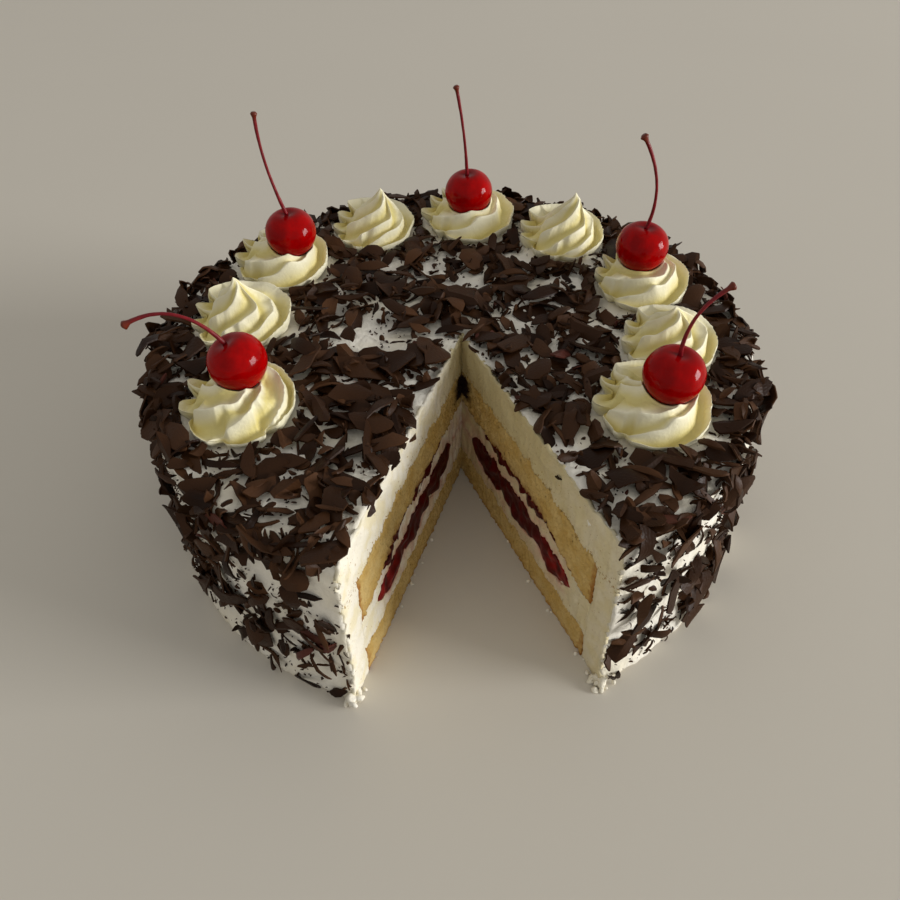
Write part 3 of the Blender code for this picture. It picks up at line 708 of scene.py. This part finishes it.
def swirlShape(n):
    # Rows go up the wall and in to the tip. The height is edge + (height - edge) (1 - r)^power less
    # the grooves, and the outline is notched where no crest reaches it.
    _, _, width, height, lean = swirlFacts[n]
    kind, power, turned = swirl["each"][n - 1]
    half = 0.5 * width
    turn = swirl["seam"] + 360 * np.arange(swirl["sides"])[None] / swirl["sides"]
    wall = np.linspace(0, 1, swirl["wallRows"], endpoint=False)[:, None]
    inward = np.linspace(0, 1, swirl["rows"] - swirl["wallRows"])[:, None]
    r = np.concatenate([np.ones_like(wall), 1 - 0.985 * inward])
    up = np.concatenate([wall, np.ones_like(inward)])
    crests = crestedAll(r, turn, kind)
    fine = 0.004 * wavesAlong(np.radians(turn) * half, 2 * mm, n + 1) * share(turn, 290, 40)
    outline = 1 - swirl["notch"] * (1 - crests[:1]) + fine * up**3
    edge = np.interp(turn, *zip(*swirl["edge"])) * mm
    inner = 7 * mm
    z = inner + (height - inner) * (1 - r) ** power + (edge - inner) * softStep((r - 0.62) / 0.38)
    depth = swirl["depth"] * share(r, 0, 0.3) ** 0.8 * (0.45 + 0.55 * share(1 - r, 0, 0.12))
    depth = depth * (1 - 0.6 * softStep((turn - 370) / 60) * (r < 1))  # the back is fuller
    if n % 2:  # a collar of cream pressed up round the cherry
        z = z + swirl["collar"] * hump(r, 0.64, 0.14)
        depth = depth * (0.75 + 0.45 * share(r, 0.55, 0.15))
    z = z - depth * swirl["deepest"] * (1 - np.exp((crests - 1) / swirl["deepest"]))
    for place, radius, knob in swirl["bumps"].get(kind, ()):
        z = z + knob * mm * hump(r, radius, 0.09) * hump(turn, place, 13)
    tuck = 1 - swirl["tuck"] * (1 - up) ** 2 - np.where(r < 1, 0, swirl["shoulder"] * up**6)
    reach = half * r * tuck * (1 + (outline - 1) * share(r, 0.25, 0.75))
    angle = np.radians(turn + turned)
    x = reach * np.cos(angle) - lean * softStep(1 - r)
    # the second value is painted shade in the grooves, weaker low on the wall
    return np.stack([x, reach * np.sin(angle), z * up], 2), (1 - crests) * (0.55 + 0.45 * up)


def keepApart(points, n):
    # Touching swirls share a flat contact; what passes it is brought back.
    middle, _, width, _, _ = swirlFacts[n]
    for other, (there, _, otherWidth, _, _) in swirlFacts.items():
        away = there - middle
        distance = lengths(away)
        if other == n or distance > 0.5 * (width + otherWidth) + 0.6 * mm:
            continue
        limit = distance * width / (width + otherWidth) - 0.15 * mm
        past = np.maximum((points[..., :2] - middle) @ unit(away) - limit, 0)
        points[..., :2] -= past[..., None] * unit(away)


def pressCherry(points, n):
    # Cream inside the lower half of the cherry goes down to it; less than 1.8 mm below, it comes up.
    middle, radius = cherryMiddle(n)
    off = lengths(points[..., :2] - middle[:2])
    seat = radius + 0.12 * mm
    floor = middle[2] - 0.95 * np.sqrt(np.maximum(seat**2 - off**2, 0))
    gap = np.maximum(floor - points[..., 2], 0)
    hugging = points[..., 2] + gap * (1 - share(gap, 0, 1.8 * mm))
    points[..., 2] = np.where(off < seat, np.minimum(hugging, floor), points[..., 2])


def pipedSwirl(n):
    middle, foot = swirlFacts[n][:2]
    points, grooveShade = swirlShape(n)
    points += np.append(middle, foot)
    fade = share(points[..., 2], foot, 2 * mm)
    wobble = 0.3 * mm * waves(points, 9 * mm, 40 + n) + 0.05 * mm * waves(points, 2.6 * mm, 50 + n)
    points[..., 0] += wobble * fade
    points[..., 2] += 0.22 * mm * waves(points, 8 * mm, 60 + n) * fade
    keepApart(points, n)
    if n % 2:
        pressCherry(points, (n + 1) // 2)
    rows, sides = points.shape[:2]
    ring, last = np.arange(sides), rows * sides
    faces = [gridFaces(rows, sides, True), fanFaces(last - sides + ring, last), ring[None, ::-1]]
    points = np.concatenate([points.reshape(-1, 3), points[-1].mean(0)[None]])
    makePiece(f"swirl_{n}", points, faces, "piped", [f"rosette_{n}"],
              values={"grooveShade": np.append(grooveShade.ravel(), 0)})


for n in swirlFacts:
    pipedSwirl(n)
print("swirls piped:", len(swirlFacts))


# ---- cherries and their stems

stem = {
    "radius": 0.62 * mm,
    "points": 60,
    "sides": 14,
    "knob": 2.2 * mm,
    "routes": [  # bend and tip from the cherry's middle in mm
        ((-13, 0, 23.5), (-29, -2, 14.4)),
        ((-6.7, 0, 26.5), (-6.4, 2, 42.2)),
        ((-1.5, 0, 24), (-4.9, 1, 39.7)),
        ((5.1, 0, 22.8), (-5.6, 0, 39.5)),
        ((-0.6, 0, 22.1), (10.9, 1, 29.5)),
    ],
}


def leaned(points, degrees):  # turned about Y, to the left for positive degrees
    c, s = math.cos(math.radians(-degrees)), math.sin(math.radians(-degrees))
    x, y, z = np.moveaxis(points, -1, 0)
    return np.stack([c * x + s * z, y, -s * x + c * z], -1)


def ripeCherry(n):
    # A squashed ball with a dimple round the stem, which is painted darker as shade, and a faint seam.
    middle, radius = cherryMiddle(n)
    down, turn = ball(cherry["rows"], cherry["sides"])
    flat = radius * np.sin(down) * (1 + 0.035 * np.cos(down) - 0.02)
    level = cherry["squash"] * radius * np.cos(down)
    # the dimple's depth, also used as painted shade
    dimpleAndShade = np.exp(-((flat / cherry["dimpleWidth"]) ** 2)) * (level > 0)
    seam = hump(turn, 2.4 + n, 0.35) * np.sin(down) ** 2
    points = np.stack([flat * np.cos(turn), flat * np.sin(turn), level - cherry["dimple"] * dimpleAndShade], 2)
    points[..., :2] *= (1 - 0.012 * seam - 0.006 * waves(points, 9 * mm, 70 + n))[..., None]
    poles = upward * np.array([[-cherry["squash"] * radius], [cherry["squash"] * radius - cherry["dimple"]]])
    points = leaned(np.concatenate([points.reshape(-1, 3), poles]), cherry["leans"][n - 1]) + middle
    faces = ballFaces(cherry["rows"], cherry["sides"])
    makePiece(f"fruit_{n}", points, faces, "cherry", [f"cherry_{n}"],
              values={"dimpleAndShade": np.append(dimpleAndShade.ravel(), [0, 1])})


def cherryStem(n):
    # A tube along (1-t)^2 root + 2t(1-t) bend + t^2 tip, with a knob at its end.
    middle, radius = cherryMiddle(n)
    root = leaned(upward * (cherry["squash"] * radius - cherry["dimple"] - 0.2 * mm), cherry["leans"][n - 1])
    bend, tip = np.array(stem["routes"][n - 1]) * mm
    t = np.linspace(0, 1, stem["points"])[:, None]
    line = (1 - t) ** 2 * root + 2 * t * (1 - t) * bend + t**2 * tip
    onward = unit(np.gradient(line, axis=0))
    aside = unit(np.cross(onward, [0, 1, 0]))
    third = np.cross(onward, aside)
    toEnd = lengths(tip - root) * (1 - t[:, 0]) * 1.05
    knob = softStep(1 - toEnd / stem["knob"])
    thick = stem["radius"] * (1.15 - 0.35 * np.sin(math.pi * t[:, 0]) + 1.15 * knob)
    thick[-1] *= 0.55
    sides = stem["sides"]
    turn = fullTurn * np.arange(sides)[:, None] / sides
    ring = np.cos(turn) * aside[:, None] + np.sin(turn) * third[:, None]
    uneven = 1 + 0.1 * waves(line[:, None] + ring * mm, 3 * mm, 80 + n) * (0.3 + knob[:, None])
    points = middle + line[:, None] + ring * (thick[:, None] * uneven)[..., None]
    rim = np.arange(sides)[None]
    faces = [gridFaces(len(t), sides, True, flipped=True), rim, (len(t) - 1) * sides + rim[:, ::-1]]
    weld(makePiece(f"stalk_{n}", points, faces, "stem", [f"stem_{n}"],
                   values={"end": np.repeat(softStep(1 - toEnd / (2.2 * stem["knob"])), sides)}))


for n in range(1, 6):
    ripeCherry(n)
    cherryStem(n)
print("cherries placed: 5")


# ---- chocolate shavings

shavings = {
    # count, seed, shortest and longest, how high they lie, spread of their tilt
    "top": (2850, 31, 3 * mm, 17.5 * mm, 2.1 * mm, 0.38),
    "side": (2300, 32, 3 * mm, 16 * mm, 1.7 * mm, 0.33),
    "rim": (360, 33, 4 * mm, 14 * mm, 1.3 * mm, 0.5),
    "bits": (4000, 34, 0.9 * mm, 3.4 * mm, 0.5 * mm, 0.45),
    "crumbs": 8400,
    "thickness": (0.3 * mm, 0.6 * mm),
    "overhang": 2 * mm,  # over the cuts
    "reach": 103.6 * mm,
    # bare spots: x, y, radius in mm on top, degrees, height, radius on the side
    "bare": [(-27, 2, 9), (10, 39, 6), (37, -50, 6), (52, 14, 6)],
    "bareSide": [(190, 47, 7), (207, 20, 8), (222, 7, 7), (231, 33, 6), (240, 8, 5), (249, 50, 5),
                 (-12, 51, 5), (-58, 8, 5), (-35, 13, 5), (-48, 38, 4), (-25, 31, 4), (-40, 27, 4),
                 (-18, 12, 5), (-30, 50, 4), (-5, 30, 6), (-16, 40, 5), (200, 45, 6), (213, 45, 4),
                 (186, 57, 7), (195, 30, 6), (178, 40, 5), (217, 60, 8), (222, 24, 4)],
    "bareKept": 0.18,  # share left in bare spots, and of crumbs
    "crumbsKept": 0.85,
}


def shardFaces():
    # Triangles on 12 border and 3 inner points of both sides, and 12 quads round the rim.
    top = np.array([(10, 11, 14), (11, 0, 14), (0, 1, 14), (1, 2, 14), (2, 3, 13), (3, 4, 13), (8, 9, 13),
                    (9, 10, 13), (2, 13, 14), (10, 14, 13), (4, 5, 12), (5, 6, 12), (6, 7, 12), (7, 8, 12),
                    (4, 12, 13), (8, 13, 12)])
    ring = np.arange(12)
    onward = (ring + 1) % 12
    return np.concatenate([top, top[:, ::-1] + 15]), np.stack([onward, ring, ring + 15, onward + 15], 1)


def shardOutlines(count, draw):
    # Petals, half moons and strips: width x (1 - |s|^p) over the length s, with p from pointed to
    # blunt, one side torn, and the whole sheared; three points lie inside.
    along = np.array([1, 0.86, 0.5, 0, -0.5, -0.86, -1, -0.86, -0.5, 0, 0.5, 0.86])
    along = along + draw.uniform(-0.09, 0.09, (count, 12)) * (np.abs(along) < 1)
    blunt = np.repeat(np.exp(draw.uniform(0.5, 2.4, (count, 2))), 6, 1)
    wide = np.repeat(draw.uniform([0.55, 0.1], [1.05, 0.95], (count, 2)) * [1, -1], 6, 1)
    height = wide * (1 - np.clip(np.abs(along), 0, 1) ** blunt)
    height = height * (1 + draw.uniform(-1, 1, (count, 12)) * np.repeat([0.14, 0.34], 6))
    shear = draw.uniform(-0.45, 0.45, (count, 1))
    border = np.stack([0.5 * (along + shear * height), 0.5 * height], 2)
    inner = [border[:, 4:9].mean(1), border.mean(1), border[:, [10, 11, 0, 1, 2]].mean(1)]
    return np.concatenate([border, np.stack(inner, 1)], 1)


def shards(centre, normal, shortest, longest, tilt, draw):
    # Thin plates: outline x (length, width), bent by (1 - 4x^2) along and across, pitched and rolled
    # at random. Returns count x 30 points and named numbers.
    each = (len(centre), 1)
    length = shortest + (longest - shortest) * draw.beta(1.3, 1.9, each)
    slim = draw.random(each) < 0.25
    thin, full = draw.uniform(0.18, 0.38, each), draw.uniform(0.45, 0.95, each)
    width = length * np.where(slim, thin, full)
    thickness = draw.uniform(*shavings["thickness"], each) * np.clip(length / (5 * mm), 0.65, 1.1)
    u, v = np.moveaxis(shardOutlines(len(centre), draw), 2, 0)
    across = unit(np.cross(normal, unit(draw.normal(size=centre.shape))))
    along = np.cross(across, normal)
    pitch = draw.normal(0, tilt, each) * np.clip(9 * mm / length, 0.5, 1.6)
    roll = draw.normal(0, 0.9 * tilt, each)
    along, up = along * np.cos(pitch) + normal * np.sin(pitch), normal * np.cos(pitch) - along * np.sin(pitch)
    across, up = across * np.cos(roll) + up * np.sin(roll), up * np.cos(roll) - across * np.sin(roll)
    lift = draw.normal(0.05, 0.1, each) * length * (1 - 4 * u**2)
    lift += draw.normal(0.1, 0.3, each) * width * (1 - 4 * v**2)
    lift += draw.normal(0, 0.45, each) * width * u * v
    lift += 0.012 * length * draw.uniform(-1, 1, lift.shape)
    flat = (u * length)[..., None] * along[:, None] + (v * width)[..., None] * across[:, None]
    flat = centre[:, None] + flat
    sheets = [flat + (lift + side * thickness)[..., None] * up[:, None] for side in (0.5, -0.5)]
    shade = draw.beta(1.4, 2.4, each)
    red = np.where(draw.random(each) < 0.014, draw.uniform(0.4, 1, each), 0)
    stripe = np.tile(v * width / mm, (1, 2))
    return np.concatenate(sheets, 1), {"shade": shade + 0 * stripe, "red": red + 0 * stripe, "across": stripe}


def makeRoom(points):
    # Shards that reach too far over a cut or into a swirl are moved back by as much. Returns which
    # ones then stay off the slice, the swirls, the floor and the outside.
    flat, level = points[..., :2], points[..., 2]
    nearest = np.stack([(flat.mean(1) - cake["tip"]) @ cut["out"] for cut in cuts.values()], 1).argmin(1)
    for k, cut in enumerate(cuts.values()):
        deep = ((flat - cake["tip"]) @ cut["out"]).max(1) - shavings["overhang"]
        flat -= (np.clip(deep, 0, 7 * mm) * (nearest == k))[:, None, None] * cut["out"]
    for middle, foot, width, _, _ in swirlFacts.values():
        deep = (0.5 * width - 0.6 * mm - lengths(flat - middle)).max(1)
        move = np.clip(deep, 0, 5 * mm) * (level.max(1) > foot)
        flat += (move[:, None] * unit(flat.mean(1) - middle))[:, None]
    good = intoSlice(points).max(1) < shavings["overhang"] + 0.1 * mm
    good &= lengths(flat).max(1) < shavings["reach"]
    good &= (level.min(1) > 0.1 * mm) & (level.max(1) < cake["top"] + 6 * mm)
    for middle, foot, width, _, _ in swirlFacts.values():
        off = lengths(flat - middle)
        good &= ~((off < 0.5 * width - 1 * mm) & (level > foot + 0.6 * mm)).any(1)
    return good


def around(turn):  # unit vectors out of the cake's side
    return np.column_stack([np.cos(turn), np.sin(turn), np.zeros(len(turn))])


def spared(centre, draw, kept):
    # True where a shard may lie; in the bare spots only a share is kept.
    onTop, onSide = np.array(shavings["bare"]), np.array(shavings["bareSide"])
    spots = [raised(onTop[:, :2] * mm, cake["top"]),
             around(np.radians(onSide[:, 0])) * cake["radius"] + upward * onSide[:, 1:2] * mm]
    keep = np.ones(len(centre), bool)
    for spot, size in zip(np.concatenate(spots), [*onTop[:, 2], *onSide[:, 2]]):
        near = lengths(centre - spot) / (size * mm)
        keep &= (near > 1) | (draw.random(len(centre)) < kept)
    return keep


def spotsOnTop(count, draw, kept=shavings["bareKept"]):
    # Even over the disc by the golden angle, jittered, and thinned where the coat shows.
    order = np.arange(count) + 0.5
    radius = (cake["radius"] - 1 * mm) * np.sqrt(order / count)
    out = around(order * math.pi * (3 - math.sqrt(5)))
    centre = out * radius[:, None] + draw.normal(0, 1.8 * mm, (count, 3)) * (1 - upward)
    keep = lengths(centre) < cake["radius"] - 0.5 * mm
    keep &= waves(centre[:, :2], 16 * mm, 93) + 0.9 * waves(centre[:, :2], 6 * mm, 94) < 1.3
    centre[:, 2] = cake["top"] + 0.2 * mm
    keep &= spared(centre, draw, kept)
    return centre[keep], np.tile(upward, (keep.sum(), 1))


def spotsOnSide(count, draw, kept=shavings["bareKept"]):  # even in height and turn, thinned likewise
    order = np.arange(count) + 0.5
    out = around(order * math.pi * (3 - math.sqrt(5)) + draw.normal(0, 0.02, count))
    level = (cake["top"] * 0.97 * order / count + 0.8 * mm)[:, None]
    centre = out * (cake["radius"] + 0.1 * mm + footReach(level)) + upward * level
    opening = waves(centre, 15 * mm, 91) + 0.9 * waves(centre, 7 * mm, 92)
    keep = opening < 0.85 + (level[:, 0] < 17 * mm)  # fewer openings near the foot
    keep &= spared(centre, draw, kept)
    return centre[keep], out[keep]


def spotsOnRim(count, draw):  # on a quarter circle round the edge
    out = around(fullTurn * (np.arange(count) + draw.random(count)) / count)
    lean = draw.uniform(0.1, 1.35, count)[:, None]
    normal = unit(out * np.sin(lean) + upward * np.cos(lean))
    middle = out * (cake["radius"] - coat["rim"]) + upward * (cake["top"] - coat["rim"])
    centre = middle + normal * (coat["rim"] + 0.3 * mm)
    keep = spared(centre, draw, shavings["bareKept"])
    return centre[keep], normal[keep]


def spotsAllOver(count, draw):
    both = [spots(count // 2, draw, shavings["crumbsKept"]) for spots in (spotsOnTop, spotsOnSide)]
    return [np.concatenate(pair) for pair in zip(*both)]


def shaveChocolate(name, spots):
    count, seed, shortest, longest, lift, tilt = shavings[name]
    draw = np.random.default_rng(seed)
    centre, normal = spots(count, draw)
    keep = intoSlice(centre) < -0.3 * mm
    centre, normal = centre[keep], normal[keep]
    centre = centre + normal * (draw.random((len(centre), 1)) ** 1.5 * lift)
    normal = unit(normal + draw.normal(0, 0.06, normal.shape))
    points, values = shards(centre, normal, shortest, longest, tilt, draw)
    good = makeRoom(points)
    faces = [manyTimes(group, good.sum(), 30) for group in shardFaces()]
    piece = makePiece(f"shavings_{name}", points[good], faces, "chocolate",
                      values={key: numbers[good] for key, numbers in values.items()})
    piece.data.set_sharp_from_angle(angle=math.radians(35))
    print("shavings", name, good.sum())


for name, spots in (("top", spotsOnTop), ("side", spotsOnSide), ("rim", spotsOnRim), ("bits", spotsAllOver)):
    shaveChocolate(name, spots)


def chocolateCrumbs():
    # Grains between the shards: octahedra stretched at random.
    draw = np.random.default_rng(41)
    centre, normal = spotsAllOver(shavings["crumbs"], draw)
    centre = centre - 0.1 * mm * upward * normal
    centre += draw.normal(0, 0.9 * mm, centre.shape) * (1 - np.abs(normal))
    centre = centre[intoSlice(centre) < -0.6 * mm]
    for middle, foot, width, _, _ in swirlFacts.values():
        away = lengths(centre[:, :2] - middle) > 0.5 * width + 0.2 * mm
        centre = centre[away | (centre[:, 2] < foot - 2 * mm)]
    count = len(centre)
    size = draw.uniform(0.25, 0.85, (count, 1, 1)) * mm
    turn = draw.uniform(0, fullTurn, (count, 1))
    axes = np.array([[1, 0, 0], [0, 1, 0], [-1, 0, 0], [0, -1, 0], [0, 0, 1], [0, 0, -1]])
    grains = axes * size * draw.uniform(0.3, 1.5, (count, 6, 1)) * [1, 0.6, 0.6]
    x, y, z = np.moveaxis(grains, 2, 0)
    points = np.stack([x * np.cos(turn) - y * np.sin(turn), x * np.sin(turn) + y * np.cos(turn), z], 2)
    points += centre[:, None]
    points[..., 2] = np.maximum(points[..., 2], 0.05 * mm)
    ring = np.arange(4)
    faces = manyTimes(np.concatenate([fanFaces(ring, 4), fanFaces(ring[::-1], 5)]), count, 6)
    makePiece("chocolateCrumbs", points, [faces], "chocolate", smooth=False,
              values={"shade": np.repeat(draw.random(count), 6)})
    print("crumbs", count)


chocolateCrumbs()


# ---- crumbs of cream

creamCrumbs = {
    # where the cuts leave the cake, and along their bottom
    "corner": {"count": 30, "size": (0.7 * mm, 1.7 * mm), "spread": 1.4 * mm},
    "foot": {"count": 9, "size": (0.25 * mm, 0.6 * mm)},
    "rows": 7,
    "sides": 9,
}


def makeLumps(name, centre, size, seed):
    # Balls stretched at random and dented by waves.
    draw = np.random.default_rng(seed)
    count, rows, sides = len(centre), creamCrumbs["rows"], creamCrumbs["sides"]
    down, turn = ball(rows, sides)
    out = np.stack([np.sin(down) * np.cos(turn), np.sin(down) * np.sin(turn), np.cos(down)], 2)
    out = np.concatenate([out.reshape(-1, 3), [-upward, upward]])
    points = centre[:, None] + out * (draw.uniform(0.7, 1.3, (count, 1, 3)) * size[:, None, None])
    points = points + out * (0.28 * size[:, None] * waves(points, 2.2 * mm, seed))[..., None]
    points[..., 2] = np.maximum(points[..., 2], 0.05 * mm)
    faces = [manyTimes(group, count, rows * sides + 2) for group in ballFaces(rows, sides)]
    makePiece(name, points, faces, "coat")


def crumbledCream(side):
    cut = cuts[side]
    corner, foot = creamCrumbs["corner"], creamCrumbs["foot"]
    draw = np.random.default_rng(cut["seed"] + 60)
    end = reachTo(cake["radius"] + coat["foot"], cut["along"])
    middle = np.append(cake["tip"] + cut["along"] * (end - 0.5 * mm), 0.8 * mm)
    centre = middle + draw.normal(0, corner["spread"], (corner["count"], 3)) * [1, 1, 0.5]
    size = draw.uniform(*corner["size"], corner["count"])
    size *= np.exp(-lengths(centre - middle) / (9 * mm))
    centre[:, 2] = np.abs(centre[:, 2] - 0.5 * mm) + 0.5 * size
    along = draw.uniform(12 * mm, end, (foot["count"], 1)) * cut["along"]
    aside = draw.uniform(0.4, 2.2, (foot["count"], 1)) * mm * cut["out"]
    small = draw.uniform(*foot["size"], foot["count"])
    centre = np.concatenate([centre, raised(cake["tip"] + along + aside, 0.5 * small)])
    makeLumps(f"creamCrumbs_{side}", centre, np.concatenate([size, small]), cut["seed"] + 61)


for side in cuts:
    crumbledCream(side)
print("crumbs of cream made")


# ---- floor, light and camera

studio = {
    "floor": (0.66, 0.615, 0.53),
    "sky": (1, 0.98, 0.95),
    "skyStrength": 0.46,
    "eye": Vector((0, -219.2, 229)) * mm,
    "turn": (45.377, 0.383, 0.031),
    "lens": 32.925,
    "windowWay": (math.radians(-10), math.radians(11)),  # angle from the right, and height
    "windowDistance": 4,
    "windowPower": 155,
    "windowSize": (1.7, 1.5),
}


def setStudio():
    sheet = Sheet("paleFloor", 0.2)
    grain = sheet.noise(150 * mm, 2)
    colour = sheet.blend(grain, studio["floor"], tuple(0.97 * c for c in studio["floor"]))
    corners = 6 * np.array([[-1, -1, 0], [1, -1, 0], [1, 1, 0], [-1, 1, 0]]) - 0.02 * mm * upward
    mesh = bpy.data.meshes.new("floor")
    mesh.from_pydata(corners.tolist(), [], [(0, 1, 2, 3)])
    mesh.materials.append(sheet.finish(colour, 0.7, grain, 0))
    addToScene("floor", mesh)
    world = bpy.data.worlds.new("sky")
    world.use_nodes = True
    background = world.node_tree.nodes["Background"]
    background.inputs["Color"].default_value = (*studio["sky"], 1)
    background.inputs["Strength"].default_value = studio["skyStrength"]
    bpy.context.scene.world = world
    turn, height = studio["windowWay"]
    away = Vector((math.cos(turn) * math.cos(height), math.sin(turn) * math.cos(height), math.sin(height)))
    data = bpy.data.lights.new("window", "AREA")
    data.energy = studio["windowPower"]
    data.shape = "RECTANGLE"
    data.size, data.size_y = studio["windowSize"]
    light = addToScene("window", data)
    light.location = away * studio["windowDistance"] + Vector((0, 0, 40 * mm))
    light.rotation_euler = away.to_track_quat("Z", "Y").to_euler()
    data = bpy.data.cameras.new("camera")
    data.lens = studio["lens"]
    data.sensor_width = 36
    data.clip_start = 0.01
    camera = addToScene("camera", data)
    camera.location = studio["eye"]
    camera.rotation_euler = [math.radians(angle) for angle in studio["turn"]]
    bpy.context.scene.camera = camera
    bpy.context.scene.view_settings.view_transform = "Standard"


setStudio()
print("studio set")
